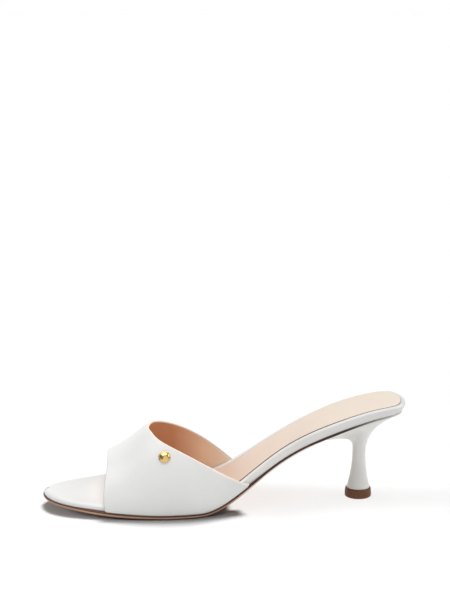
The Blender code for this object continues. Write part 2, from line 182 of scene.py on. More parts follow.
# Height of the outsole's underside, and thickness of outsole and board, by fraction of the length.
PROFILE = [
    Profile(0.00, 5.7, 1.7, 3.4),
    Profile(0.12, 2.4, 2.7, 3.7),
    Profile(0.30, 0.1, 2.3, 4.1),
    Profile(0.40, -0.2, 2.2, 4.6),
    Profile(0.44, 0.3, 2.2, 4.9),
    Profile(0.48, 2.9, 2.3, 5.3),
    Profile(0.56, 13.6, 2.7, 5.7),
    Profile(0.65, 28.9, 2.3, 5.6),
    Profile(0.74, 41.5, 1.8, 5.5),
    Profile(0.82, 49.9, 1.5, 5.2),
    Profile(0.91, 56.0, 0.9, 5.1),
    Profile(1.00, 58.9, 0.8, 4.8),
]

# Where the band starts and ends, as runs, by degrees round it from its crest.
BAND_EDGES = [
    Edge(-90, 38.4, 129.2),
    Edge(-60, 38.0, 102.1),
    Edge(-35, 39.6, 76.2),
    Edge(-12, 40.3, 67.9),
    Edge(0, 40.4, 66.7),
    Edge(15, 40.8, 69.0),
    Edge(35, 41.7, 77.9),
    Edge(60, 42.9, 102.1),
    Edge(90, 45.0, 126.6),
]

# Height of the band's crest line.
CREST = [
    Crest(38, 31.7),
    Crest(52, 39.2),
    Crest(66, 50.0),
    Crest(90, 59.6),
    Crest(130, 73.7),
]

# How the heel opens from its throat to its seat, by degrees from the back: a higher start opens later,
# and a higher wall reaches the seat's outline sooner.
FLARE = [
    Flare(0, 2.1, 1.1),
    Flare(45, 2.3, 1.05),
    Flare(90, 3.0, 1.9),
    Flare(135, 6.3, 1.1),
    Flare(180, 5.4, 1.05),
]

# Height of the board's border above its top: inner is the whole border of the inner side, outer the
# border's crest at the outer side, and lip the border there beside the sock.
RIM = [
    Rim(60, 0.0, 0.0, 0.0),
    Rim(80, 0.45, 1.5, 0.9),
    Rim(125, 0.45, 1.8, 1.1),
    Rim(150, 0.45, 1.2, 0.95),
    Rim(180, 0.5, 0.5, 0.5),
    Rim(210, 0.7, 0.5, 0.5),
    Rim(LENGTH, 0.7, 0.7, 0.7),
]

# Soft troughs and ridges of the band: where the middle is, how long and wide, how
# far it turns from the crest's direction, and how high it stands.
FOLDS = [
    Fold(98, -66, 20, 7, 62, -0.28),
    Fold(88, -72, 16, 6, 55, 0.16),
    Fold(70, -70, 30, 7, 8, 0.18),
    Fold(62, -30, 16, 5, 70, -0.10),
    Fold(55, 5, 14, 6, 80, -0.12),
    Fold(64, 38, 18, 6, 60, -0.12),
    Fold(96, 64, 20, 7, -60, -0.26),
    Fold(80, 74, 26, 6, -20, 0.16),
]

# Soft studio lights. towards points to where a light comes from, its strength is what a white surface
# facing it shows, and its softness is its width in degrees. Shoe and floor have lights of their own.
# Where shaded_by names a group, only that group's pieces shade the light.
LIGHTS = [
    Light("overhead", (-0.16, 0.0, 1.0), 0.80, 60, "shoe", None),
    Light("front", (0.1, -1.0, 0.30), 0.25, 70, "shoe", None),
    Light("rim", (0.85, 0.1, 0.45), 0.42, 40, "shoe", None),
    Light("back", (-0.4, 0.9, 0.25), 0.18, 50, "shoe", None),
    Light("floor_overhead", (0.0, 0.0, 1.0), 0.13, 50, "floor", None),
    Light("floor_behind", (0.35, 1.0, 2.00), 1.68, 20, "floor", "front"),
    Light("floor_left", (-1.0, 0.1, 0.35), 0.75, 24, "floor", None),
]


# ---------------------------------------------------------------- the shoe's form


def smooth_curve(xs, ys):
    """Natural cubic spline through the points, as a function of a number or an array."""
    xs = np.array(xs, float)
    ys = np.array(ys, float)
    steps = np.diff(xs)
    count = len(xs)
    matrix = np.eye(count)
    right = np.zeros(count)
    for i in range(1, count - 1):
        matrix[i, i - 1:i + 2] = steps[i - 1], 2 * (steps[i - 1] + steps[i]), steps[i]
        right[i] = 6 * ((ys[i + 1] - ys[i]) / steps[i] - (ys[i] - ys[i - 1]) / steps[i - 1])
    bend = np.linalg.solve(matrix, right)

    def value(x):
        i = np.clip(np.searchsorted(xs, x) - 1, 0, count - 2)
        step = steps[i]
        before = (xs[i + 1] - x) / step
        after = (x - xs[i]) / step
        line = before * ys[i] + after * ys[i + 1]
        curl = (before ** 3 - before) * bend[i] + (after ** 3 - after) * bend[i + 1]
        return line + curl * step ** 2 / 6

    return value


def column(rows, name):
    return [getattr(row, name) for row in rows]


def turn_of(run):
    """The outline is smooth in this angle, 0 at the toe tip and pi at the back."""
    return np.arccos(1 - 2 * np.clip(run / LENGTH, 0, 1))


_turns = turn_of(LENGTH * np.array(column(OUTLINE, "fraction")))
_inner_width = smooth_curve(_turns, column(OUTLINE, "inner"))
_outer_width = smooth_curve(_turns, column(OUTLINE, "outer"))
_fractions = column(PROFILE, "fraction")
_underside = smooth_curve(_fractions, column(PROFILE, "underside"))
_outsole = smooth_curve(_fractions, column(PROFILE, "outsole"))
_board = smooth_curve(_fractions, column(PROFILE, "board"))
_angles = column(BAND_EDGES, "angle")
band_front = smooth_curve(_angles, column(BAND_EDGES, "front"))
band_collar = smooth_curve(_angles, column(BAND_EDGES, "collar"))
crest_height = smooth_curve(column(CREST, "run"), column(CREST, "height"))


def underside(run):
    return np.maximum(0.0, _underside(run / LENGTH))


def upright(distance, run):
    """A distance square to the sloping sole, measured upright."""
    slope = (_underside((run + 1) / LENGTH) - _underside((run - 1) / LENGTH)) / 2
    return distance * np.hypot(1, slope)


def outsole_top(run):
    return underside(run) + _outsole(run / LENGTH)


def board_bottom(run):
    return outsole_top(run) + upright(GAP, run)


def board_top(run):
    return board_bottom(run) + _board(run / LENGTH)


def width_at(side, turn):
    return np.where(np.asarray(side) < 0, _inner_width(turn), _outer_width(turn))


def edge_at(side, turn, out):
    """(run, side) of the board's outline at this turn, moved out square to it."""
    step = 1e-4
    along_run = LENGTH / 2 * np.sin(turn)
    along_side = (width_at(side, turn + step) - width_at(side, turn - step)) / (2 * step)
    size = np.hypot(along_run, along_side)
    run = LENGTH / 2 * (1 - np.cos(turn))
    return run - out * along_side / size, side * (width_at(side, turn) + out * along_run / size)


def ease(x, start, end):
    """0 before start, 1 after end, and smooth between."""
    share = np.clip((x - start) / (end - start), 0, 1)
    return share * share * (3 - 2 * share)


def back_tuck(run):
    """How far the board's lower edge, the outsole and the heel seat lie inside its upper edge."""
    return BACK_TUCK * ease(run, TUCK_FROM, LENGTH)


def outsole_out(run):
    """How far the outsole's edge lies outside the board's outline."""
    beside_band = BESIDE_BAND * ease(run, 14, 48) * (1 - ease(run, 118, 146))
    return OUTSOLE_PROUD + beside_band - back_tuck(run)


def border(side, own):
    """Width of the board's border beside the sock."""
    wider = SOCK_FAR * ease(own, 80, 105) * (1 - ease(own, 145, 185))
    return SOCK_INSET + (wider if side > 0 else 0.0)


def rim(name):
    """Height of the border above the board's top, by run."""
    return lambda own: np.interp(own, column(RIM, "run"), column(RIM, name))


rim_inner, rim_outer, rim_lip = rim("inner"), rim("outer"), rim("lip")


def place(run, side, height):
    """Points in metres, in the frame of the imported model."""
    run, side, height = np.broadcast_arrays(run, side, height)
    return np.stack([run - ORIGIN_RUN, side - ORIGIN_SIDE, height], -1) * MM


def finish_mesh(name, points, faces, materials, slots, sharp):
    """An object from points and faces. slots gives each face's material, as an index."""
    mesh = bpy.data.meshes.new(name)
    mesh.from_pydata(points.tolist(), [], faces)
    for material in materials:
        mesh.materials.append(material)
    mesh.polygons.foreach_set("material_index", slots)
    bm = bmesh.new()
    bm.from_mesh(mesh)
    bmesh.ops.remove_doubles(bm, verts=bm.verts, dist=1e-6)
    bmesh.ops.dissolve_degenerate(bm, edges=bm.edges, dist=1e-7)
    bmesh.ops.recalc_face_normals(bm, faces=bm.faces)
    bm.to_mesh(mesh)
    bm.free()
    mesh.shade_smooth()
    mesh.set_sharp_from_angle(angle=math.radians(sharp))
    thing = bpy.data.objects.new(name, mesh)
    bpy.context.scene.collection.objects.link(thing)
    return thing


def ring_faces(rings, size):
    """The faces between neighbouring rings of this many points."""
    faces = []
    for i in range(rings - 1):
        for j in range(size):
            k = (j + 1) % size
            faces.append((i * size + j, i * size + k, (i + 1) * size + k, (i + 1) * size + j))
    return faces


def flat_cap(size):
    """One face over a whole end loop."""
    return [tuple(range(size))]


def strip_cap(mirror):
    """A cap of an end loop whose points i and mirror - i face each other across a thin wall."""
    def cap(size):
        start = (mirror + 1) // 2
        faces = []
        for i in range(start, start + size // 2):
            face = (i % size, (i + 1) % size, (mirror - i - 1) % size, (mirror - i) % size)
            faces.append(tuple(dict.fromkeys(face)))
        return [face for face in faces if len(face) > 2]
    return cap


def slab_cap(rows, across, crown):
    """A cap of a slab's end loop, joining its two edges row by row.

    The last rows of each edge, as many as crown, may stand above the face between them.
    """
    first = rows - crown

    def cap(size):
        def right(i):
            return 2 * rows + across - 1 - i
        top = [first, rows - 1, *range(rows, rows + across), right(rows - 1), right(first)]
        bottom = [right(1), right(0), *range(2 * rows + across, size), 0, 1]
        middle = [(i, i + 1, right(i + 1), right(i)) for i in range(1, first)]
        borders = [tuple(range(first, rows)), tuple(range(right(rows - 1), right(first) + 1))]
        return [tuple(top), tuple(bottom), *middle, *[face for face in borders if crown > 2]]
    return cap


def lofted(name, loops, materials, slot_of_point=None, sharp=50, cap=flat_cap, close_back=True):
    """A closed mesh through closed loops (loops x points x 3), with a cap at each end.

    Without close_back the last loop has no width and takes no cap.
    """
    count, size = loops.shape[:2]
    if slot_of_point is None:
        slot_of_point = [0] * size
    faces = ring_faces(count, size)
    caps = [face[::-1] for face in cap(size)]
    if close_back:
        caps += [tuple((count - 1) * size + i for i in face) for face in cap(size)]
    slots = slot_of_point * (count - 1) + [slot_of_point[0]] * len(caps)
    return finish_mesh(name, loops.reshape(-1, 3), faces + caps, materials, slots, sharp)


def turned(name, profile, count, material, sharp=50):
    """A body turned round +Z from (radius, height) points that start and end on the axis."""
    angles = np.arange(count) * 2 * math.pi / count
    loops = np.array([
        np.stack([radius * np.cos(angles), radius * np.sin(angles), np.full(count, height)], -1)
        for radius, height in profile
    ])
    faces = ring_faces(len(profile), count)
    return finish_mesh(name, loops.reshape(-1, 3) * MM, faces, [material], [0] * len(faces), sharp)


def shown(piece, node):
    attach(piece, "root")
    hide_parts(node)


# ---------------------------------------------------------------- materials


def add(tree, kind, **values):
    """A new node. Each value is one of its properties or, if it has none of that name, of its inputs."""
    node = tree.nodes.new(kind)
    for name, value in values.items():
        if hasattr(node, name):
            setattr(node, name, value)
        else:
            node.inputs[name].default_value = value
    return node


def new_material(name):
    """A material with its nodes, its shader and a socket of the place on the object, in metres."""
    material = bpy.data.materials.new(name)
    material.use_nodes = True
    tree = material.node_tree
    where = add(tree, "ShaderNodeTexCoord").outputs["Object"]
    return material, tree, tree.nodes["Principled BSDF"], where


def stretched(tree, where, scale):
    """The place scaled, so that a texture on it is drawn out along each axis whose scale is small."""
    node = add(tree, "ShaderNodeMapping", Scale=scale)
    tree.links.new(where, node.inputs["Vector"])
    return node.outputs["Vector"]


def noise(tree, where, size, detail, roughness=0.5):
    """Noise whose lumps are about this many millimetres across."""
    node = add(tree, "ShaderNodeTexNoise", Detail=detail, Roughness=roughness, Scale=1 / (size * MM))
    tree.links.new(where, node.inputs["Vector"])
    return node.outputs["Fac"]


def ramp(tree, factor, low, high, start=0.3, end=0.7):
    """Maps factor from start..end to low..high, which are numbers."""
    node = add(tree, "ShaderNodeMapRange")
    node.inputs["From Min"].default_value = start
    node.inputs["From Max"].default_value = end
    node.inputs["To Min"].default_value = low
    node.inputs["To Max"].default_value = high
    tree.links.new(factor, node.inputs["Value"])
    return node.outputs["Result"]


def mixed(tree, factor, first, second):
    """A colour between two, by factor."""
    node = add(tree, "ShaderNodeMix", data_type="RGBA")
    tree.links.new(factor, node.inputs["Factor"])
    node.inputs[6].default_value = (*first, 1)
    node.inputs[7].default_value = (*second, 1)
    return node.outputs[2]


def toned(tree, colour, factor):
    """The colour made darker or lighter by a factor socket."""
    node = add(tree, "ShaderNodeVectorMath", operation="SCALE")
    tree.links.new(colour, node.inputs[0])
    tree.links.new(factor, node.inputs["Scale"])
    return node.outputs["Vector"]


def bumped(tree, heights, shader):
    """Chains bump nodes, each from a height socket and its depth in millimetres."""
    normal = None
    for height, depth in heights:
        node = add(tree, "ShaderNodeBump", Strength=1.0, Distance=depth * MM)
        tree.links.new(height, node.inputs["Height"])
        if normal:
            tree.links.new(normal, node.inputs["Normal"])
        normal = node.outputs["Normal"]
    tree.links.new(normal, shader.inputs["Normal"])


def grain(tree, where, size):
    """Pebbles of leather grain, as a height, about this many millimetres across."""
    bent = add(tree, "ShaderNodeTexNoise", Scale=0.4 / (size * MM), Detail=1.0)
    tree.links.new(where, bent.inputs["Vector"])
    shift = add(tree, "ShaderNodeVectorMath", operation="SCALE", Scale=0.6 * size * MM)
    tree.links.new(bent.outputs["Color"], shift.inputs[0])
    moved = add(tree, "ShaderNodeVectorMath", operation="ADD")
    tree.links.new(where, moved.inputs[0])
    tree.links.new(shift.outputs[0], moved.inputs[1])
    cells = add(tree, "ShaderNodeTexVoronoi", feature="SMOOTH_F1", Scale=1 / (size * MM))
    tree.links.new(moved.outputs[0], cells.inputs["Vector"])
    return ramp(tree, cells.outputs["Distance"], 1.0, 0.0, 0.1, 0.75)


def colour_along(tree, where, stops):
    """A colour passing from stop to stop along the shoe."""
    apart = add(tree, "ShaderNodeSeparateXYZ")
    tree.links.new(where, apart.inputs["Vector"])
    first, last = stops[0].run, stops[-1].run
    share = ramp(tree, apart.outputs["X"], 0, 1, (first - ORIGIN_RUN) * MM, (last - ORIGIN_RUN) * MM)
    node = add(tree, "ShaderNodeValToRGB")
    tree.links.new(share, node.inputs["Fac"])
    points = node.color_ramp.elements
    for stop in stops[1:-1]:
        points.new((stop.run - first) / (last - first))
    for point, stop in zip(points, stops):
        point.color = (*stop.colour, 1)
    return node.outputs["Color"]


def leather(name, stops, roughness, grain_size, grain_depth, swell=0.12):
    """Finished leather: grain, a soft swell, a slight change of colour and of gloss.

    grain_size, grain_depth and swell, the swell's height, are in millimetres.
    """
    material, tree, shader, where = new_material(name)
    broad = noise(tree, where, 26.0, 2.0)
    fine = noise(tree, where, 2.2, 4.0, 0.6)
    colour = toned(tree, colour_along(tree, where, stops), ramp(tree, broad, 1.0, 0.97))
    colour = toned(tree, colour, ramp(tree, fine, 1.0, 0.985, 0.35, 0.75))
    tree.links.new(colour, shader.inputs["Base Color"])
    tree.links.new(ramp(tree, fine, roughness - 0.05, roughness + 0.06), shader.inputs["Roughness"])
    shader.inputs["Specular IOR Level"].default_value = 0.45
    pebbles = grain(tree, where, grain_size)
    bumped(tree, [(noise(tree, where, 9.0, 2.0), swell), (pebbles, grain_depth)], shader)
    return material


def fibre_leather(name, stops, roughness, depth, gloss=0.5):
    """Sole leather or a cut edge: short fibres along the shoe, no grain pebbles."""
    material, tree, shader, where = new_material(name)
    fibres = noise(tree, stretched(tree, where, (0.22, 1.0, 1.0)), 0.7, 5.0, 0.65)
    patches = noise(tree, where, 14.0, 3.0)
    colour = toned(tree, colour_along(tree, where, stops), ramp(tree, patches, 0.97, 1.15))
    colour = toned(tree, colour, ramp(tree, fibres, 1.0, 0.86, 0.4, 0.75))
    tree.links.new(colour, shader.inputs["Base Color"])
    tree.links.new(ramp(tree, patches, roughness - 0.07, roughness + 0.08), shader.inputs["Roughness"])
    shader.inputs["Specular IOR Level"].default_value = gloss
    bumped(tree, [(fibres, depth)], shader)
    return material


def metal(name, colour, roughness):
    """Polished plated metal, with hairline rubbing."""
    material, tree, shader, where = new_material(name)
    shader.inputs["Base Color"].default_value = (*colour, 1)
    shader.inputs["Metallic"].default_value = 1.0
    hairs = noise(tree, stretched(tree, where, (1.0, 0.15, 1.0)), 0.25, 3.0)
    tree.links.new(ramp(tree, hairs, roughness - 0.05, roughness + 0.12), shader.inputs["Roughness"])
    bumped(tree, [(hairs, 0.004)], shader)
    return material


def rubber(name, colour, shade):
    """Hard moulded rubber with a fine matt texture."""
    material, tree, shader, where = new_material(name)
    fine = noise(tree, where, 0.5, 3.0, 0.6)
    patches = noise(tree, where, 5.0, 3.0)
    tree.links.new(mixed(tree, ramp(tree, patches, 0.0, 1.0), colour, shade), shader.inputs["Base Color"])
    tree.links.new(ramp(tree, patches, 0.42, 0.58), shader.inputs["Roughness"])
    shader.inputs["Specular IOR Level"].default_value = 0.3
    bumped(tree, [(fine, 0.02)], shader)
    return material


# ---------------------------------------------------------------- sole, board and sock


def slab(
    name, turns, sides, top_of, bottom_of, across, materials, side_slots,
    bottom_slot=0, close_back=False, crown=2,
):
    """A long flat piece lofted from toe to back.

    sides gives the piece's edge, lowest first, as how far it is out of the outline, from (side, run of
    the outline), and its height, from (side, run of the outline, run). top_of and bottom_of add to the
    height of the face between the two edges, which has across rows, from (run, side, share of the way
    across, -1 to 1). side_slots are the materials of the edge's faces. crown is the number of last rows
    of the edge that may stand above the top face.
    """
    own_run = LENGTH / 2 * (1 - np.cos(turns))
    edges = {}
    for side in (-1, 1):
        edge = []
        for out_of, height_of in sides:
            run, place_side = edge_at(side, turns, out_of(side, own_run))
            edge.append(np.stack([run, place_side, height_of(side, own_run, run)], -1))
        edges[side] = edge
    shares = np.linspace(-1, 1, across + 2)[1:-1]

    def face(start, end, extra_of):
        rows = []
        for share in shares:
            blend = (share + 1) / 2
            row = start * (1 - blend) + end * blend
            row[:, 2] += extra_of(row[:, 0], row[:, 1], share)
            rows.append(row)
        return rows

    top = face(edges[-1][-1], edges[1][-1], top_of)
    bottom = face(edges[1][0], edges[-1][0], bottom_of)
    loop = edges[-1] + top + edges[1][::-1] + bottom
    slots = side_slots + [0] * (across + 1) + side_slots[::-1] + [bottom_slot] * (across + 1)
    points = np.stack(loop, 1)
    return lofted(
        name, place(points[..., 0], points[..., 1], points[..., 2]), materials, slots,
        cap=slab_cap(len(sides), across, crown), close_back=close_back,
    )


def nothing(run, side, share):
    """For a slab's face that is straight across."""
    return 0.0


def piece_turns(count, first_run=TIP_RUN, last_run=LENGTH, also=()):
    """Turns evenly from one run to another, and at the runs of also."""
    turns = np.linspace(float(turn_of(first_run)), float(turn_of(last_run)), count)
    return np.unique(np.concatenate([turns, [float(turn_of(run)) for run in also]]))


def make_outsole():
    ink = fibre_leather("sole_edge_ink", [
        Stop(0, (0.14, 0.062, 0.036)), Stop(60, (0.12, 0.050, 0.028)), Stop(90, (0.075, 0.030, 0.018)),
        Stop(140, (0.050, 0.022, 0.014)), Stop(194, (0.050, 0.030, 0.022)),
        Stop(209, (0.25, 0.24, 0.215)), Stop(224, (0.66, 0.65, 0.62)),
    ], 0.45, 0.02, 0.3)
    natural = fibre_leather("sole_edge_natural", [
        Stop(0, (0.46, 0.28, 0.20)), Stop(80, (0.47, 0.265, 0.17)), Stop(118, (0.40, 0.22, 0.14)),
        Stop(140, (0.80, 0.66, 0.60)), Stop(194, (0.80, 0.70, 0.64)), Stop(224, (0.66, 0.65, 0.62)),
    ], 0.5, 0.03)
    sole = fibre_leather("sole_leather_under", [
        Stop(0, (0.32, 0.165, 0.09)), Stop(LENGTH, (0.34, 0.18, 0.10)),
    ], 0.46, 0.03)

    def lift(run):
        """Height of the underside's edge above its flat middle."""
        return SOLE_LIFT * (1 - ease(run, 105, 150) * SOLE_LIFT_LOST)

    def low(run):
        return underside(run) + lift(run)

    def bare(own):
        """Share of the edge's height left in its natural colour, lowest first."""
        return 0.54 - 0.18 * ease(own, 112, 142) - 0.28 * ease(own, 166, 182)

    def level(share_of):
        """The height at a share of the edge, which share_of gives from the bare share."""
        def height(side, own, run):
            bottom = low(run)
            top = outsole_top(run) + upright(GAP - TOUCH, run)
            return bottom + (top - bottom) * share_of(bare(own))
        return height

    def out(less):
        return lambda side, own: outsole_out(own) + TIP_PROUD * (1 - ease(own, 0, 16)) - less

    sides = [
        (out(0.7), lambda side, own, run: low(run) - SOLE_CORNER),
        (out(0.25), lambda side, own, run: low(run) - SOLE_CORNER / 5),
        (out(0.03), level(lambda share: 0.22 * share)),
        (out(-0.02), level(lambda share: 0.5 * share)),
        (out(0.0), level(lambda share: share)),
        (out(0.06), level(lambda share: share + 0.03)),
        (out(0.02), level(lambda share: share + 0.5 * (1 - share))),
        (out(0.08), level(lambda share: share + 0.9 * (1 - share))),
        (out(0.25), level(lambda share: 1.0)),
    ]

    def settle(run, side, share):
        """The underside falls from its edge to its flat middle."""
        turn = turn_of(run)
        inwards = np.minimum(width_at(-1, turn) + side, width_at(1, turn) - side)
        return (SOLE_CORNER - lift(run)) * ease(inwards, 0.0, SOLE_LIFT_REACH)

    piece = slab(
        "outsole_leather", piece_turns(OUTSOLE_TURNS), sides, nothing, settle, 30,
        [ink, natural, sole], [1, 1, 1, 1, 0, 0, 0, 0], bottom_slot=2,
    )
    shown(piece, "outsole")


def margin_ends(side, short=MARGIN_SHORT):
    """The runs at the band's foot that lie this much inside its front and collar edges."""
    return float(band_front(90 * side)) + short, float(band_collar(90 * side)) - short


def rebate_depth(side, own_run, run):
    """How deep the board's underside is cut back for the lasting margin."""
    front, back = margin_ends(side)
    inside = (front - REBATE_SPARE < own_run) & (own_run < back + REBATE_SPARE)
    return np.where(inside, upright(MARGIN_THICK + GAP, run), 0.0)


def make_board():
    # The board's white leather has painted light in its stops: darker at the toe tip and towards the back
    # as painted shade, greener near the band to cancel the pink light bounced off the lining, and warmer
    # at mid-length as a painted highlight.
    white = leather("board_white_leather", [
        Stop(0, (0.755, 0.755, 0.745)), Stop(60, (0.775, 0.785, 0.775)), Stop(135, (0.78, 0.76, 0.73)),
        Stop(200, (0.71, 0.70, 0.685)), Stop(LENGTH, (0.68, 0.67, 0.66)),
    ], 0.42, 0.65, 0.02, 0.05)
    steps = []
    for side in (-1, 1):
        front, back = margin_ends(side)
        for end in (front - REBATE_SPARE, back + REBATE_SPARE):
            steps += [end - REBATE_STEP, end + REBATE_STEP]

    def flat(side, own, run):
        return board_bottom(run)

    def roof(side, own, run):
        return board_bottom(run) + rebate_depth(side, own, run)

    rebate_side = -(LASTING_MARGIN + GAP)
    sides = [
        (lambda side, own: rebate_side - 2 * REBATE_STEP, flat),
        (lambda side, own: rebate_side, roof),
        (lambda side, own: -BOARD_CORNER - back_tuck(own), roof),
        (lambda side, own: -back_tuck(own), lambda side, own, run: roof(side, own, run) + BOARD_CORNER),
        (lambda side, own: 0.12 - 0.45 * back_tuck(own),
         lambda side, own, run: (roof(side, own, run) + board_top(run) - BOARD_ROUND) / 2),
    ]

    def rounded(own, at_toe):
        """Size of the rounded upper edge, from its size at the open toe."""
        return BOARD_ROUND + (at_toe - BOARD_ROUND) * (1 - ease(own, 30, 48))

    def across(own):
        return rounded(own, TOE_ROUND[0])

    def down(own):
        return rounded(own, TOE_ROUND[1])

    def crest(side, own, run):
        return board_top(run) + upright((rim_inner if side < 0 else rim_outer)(own), run)

    def lip(side, own, run):
        return board_top(run) + upright((rim_inner if side < 0 else rim_lip)(own), run)

    def inwards(side, own, before):
        """Out of the outline, for a row of the border this much short of its inner edge."""
        return -np.maximum(border(side, own) - SOCK_GAP - before, across(own) + 0.3 - before)

    below_crown = len(sides)
    for angle in np.radians(np.linspace(0, 90, 9)):
        over, under = 1 - math.cos(angle), 1 - math.sin(angle)
        sides.append((
            lambda side, own, over=over: -across(own) * over,
            lambda side, own, run, under=under: crest(side, own, run) - down(own) * under,
        ))
    sides += [
        (lambda side, own: inwards(side, own, 0.2), lip),
        (lambda side, own: inwards(side, own, 0.05),
         lambda side, own, run: (3 * lip(side, own, run) + board_top(run)) / 4),
        (lambda side, own: inwards(side, own, 0.0), lambda side, own, run: board_top(run)),
    ]
    parts = [
        ("board_covering_front", TIP_RUN, BOARD_SPLIT, True),
        ("board_covering_back", BOARD_SPLIT + 2 * TOUCH, LENGTH, False),
    ]
    for name, first, last, close_back in parts:
        also = [run for run in steps if first < run < last]
        piece = slab(
            name, piece_turns(BOARD_TURNS, first, last, also), sides, nothing, nothing, 24, [white],
            [0] * (len(sides) - 1), close_back=close_back, crown=len(sides) - below_crown,
        )
        shown(piece, "insole_board")


def make_sock():
    # The sock's colour is painted shade towards the front: darker and deeper under the band, where the
    # band shades it and light from the lining falls on it.
    nude = leather("sock_leather_painted_shade", [
        Stop(90, (0.68, 0.48, 0.37)), Stop(118, (0.70, 0.52, 0.41)), Stop(138, (0.76, 0.61, 0.50)),
        Stop(190, (0.75, 0.645, 0.545)), Stop(LENGTH, (0.76, 0.67, 0.575)),
    ], 0.52, 0.75, 0.035)
    # The cut edge is dark partly in its own colour and partly as painted shade on the sock's thin edge.
    cut = fibre_leather("sock_cut_edge_painted_shade", [
        Stop(0, (0.13, 0.075, 0.05)), Stop(LENGTH, (0.16, 0.10, 0.07)),
    ], 0.7, 0.02)

    def lift(distance):
        return lambda side, own, run: board_top(run) + upright(distance, run)

    def inset(distance):
        return lambda side, own: -border(side, own) - distance

    radius = SOCK_HIGH - SOCK_EDGE
    sides = [(inset(0.15), lift(TOUCH)), (inset(0.02), lift(0.2)), (inset(0.0), lift(SOCK_EDGE))]
    for angle in np.radians([15, 35, 55, 75, 90]):
        sides.append((inset(radius * (1 - math.cos(angle))), lift(SOCK_EDGE + radius * math.sin(angle))))

    def pad(run, side, share):
        """The sock's padding swells it a little between its edges."""
        return SOCK_PAD * (1 - share ** 4) * ease(run, SOCK_FRONT, SOCK_FRONT + 12)

    piece = slab(
        "sock_lining", piece_turns(SOCK_TURNS, SOCK_FRONT), sides, pad, nothing, 26, [nude, cut],
        [1, 1, 0, 0, 0, 0, 0], bottom_slot=1,
    )
    shown(piece, "sock")


# ---------------------------------------------------------------- the band


def band_point(run, angle):
    """Outer face of the band at a run along its crest line, angle degrees round it."""
    side = np.where(angle < 0, -1, 1)
    fullness = np.where(angle < 0, ROUND_INNER, ROUND_OUTER)
    turned_by = np.radians(np.abs(angle))
    foot_run, foot_side = edge_at(side, turn_of(run), BAND_PROUD)
    foot_height = board_bottom(foot_run) + upright(BAND_CORNER, foot_run)
    across = np.sin(turned_by) ** (2 / fullness)
    over = np.maximum(0.0, np.cos(turned_by)) ** (2 / fullness)
    return np.stack([
        run + (foot_run - run) * np.sin(turned_by) ** 2,
        CREST_SIDE + (foot_side - CREST_SIDE) * across,
        foot_height + (crest_height(run) - foot_height) * over,
    ], -1)


def band_normal(run, angle):
    """Outward direction square to the band."""
    backwards = band_point(run + 0.5, angle) - band_point(run - 0.5, angle)
    around = band_point(run, np.minimum(88, angle + 1)) - band_point(run, np.maximum(-88, angle - 1))
    normal = np.cross(backwards, around)
    return normal / np.linalg.norm(normal, axis=-1, keepdims=True)


def relief(run, angle):
    """How far the leather stands proud of its plain form, from the soft folds."""
    height = np.zeros(np.broadcast(run, angle).shape)
    for fold in FOLDS:
        turn = math.radians(fold.turn)
        behind = run - fold.run
        around = (angle - fold.angle) * FOLD_ARC
        lengthwise = behind * math.cos(turn) + around * math.sin(turn)
        sideways = -behind * math.sin(turn) + around * math.cos(turn)
        height += fold.depth * np.exp(-(lengthwise / fold.long) ** 2 - (sideways / fold.wide) ** 2)
    return height


def foot_point(side, outline_run, out, up):
    """A point moved out from the board's outline and up from its underside."""
    run, across = edge_at(side, turn_of(outline_run), out)
    return np.stack([run, across, board_bottom(run) + upright(up, run)], -1)


def band_foot(shares, side):
    """Outer and inner rows of the turned-under margin, from its inner end out to the wall."""
    thin = MARGIN_THICK
    rows = [
        (-LASTING_MARGIN, 0.0, -LASTING_MARGIN, thin, MARGIN_SHORT),
        (-LASTING_MARGIN / 2, 0.0, -LASTING_MARGIN / 2, thin, MARGIN_SHORT),
        (BAND_PROUD - BAND_CORNER, 0.0, 0.15, thin, MARGIN_SHORT),
    ]
    for angle in np.radians([22, 45, 68]):
        eased_out = BAND_CORNER * (1 - math.sin(angle))
        eased_up = BAND_CORNER * (1 - math.cos(angle))
        short = MARGIN_SHORT * (1 - angle / (math.pi / 2))
        rows.append((BAND_PROUD - eased_out, eased_up, 0.15 + 0.35 * angle, thin, short))
    rows.append((BAND_PROUD, BAND_CORNER, BAND_CLEARANCE, thin + 0.2, 0.0))
    pairs = []
    for out, up, in_out, in_up, short in rows:
        front, back = margin_ends(side, short)
        run = front * (1 - shares) + back * shares
        pairs.append((foot_point(side, run, out, up), foot_point(side, run, in_out, in_up)))
    return pairs


def band_pairs(shares):
    """Outer and inner points of the whole band, (across, along, 3), from the inner to the outer side."""
    angles = np.concatenate([np.arange(-88.5, 0, 1.5), [0.0], np.arange(1.5, 89, 1.5)])
    pairs = band_foot(shares, -1)
    for angle in angles:
        run = band_front(angle) * (1 - shares) + band_collar(angle) * shares
        plain = band_point(run, angle)
        normal = band_normal(run, angle)
        fade = ease(90 - abs(angle), 0, 14) * ease(shares, 0, 0.15) * (1 - ease(shares, 0.85, 1))
        outer = plain + normal * (relief(run, angle) * fade)[:, None]
        pairs.append((outer, plain - BAND_WALL * normal))
    pairs += band_foot(shares, 1)[::-1]
    outer, inner = zip(*pairs)
    return np.array(outer), np.array(inner)


def spread(count):
    """Shares from 0 to 1, closer together at both ends."""
    even = np.linspace(0, 1, count)
    return 0.4 * even + 0.6 * (1 - np.cos(math.pi * even)) / 2


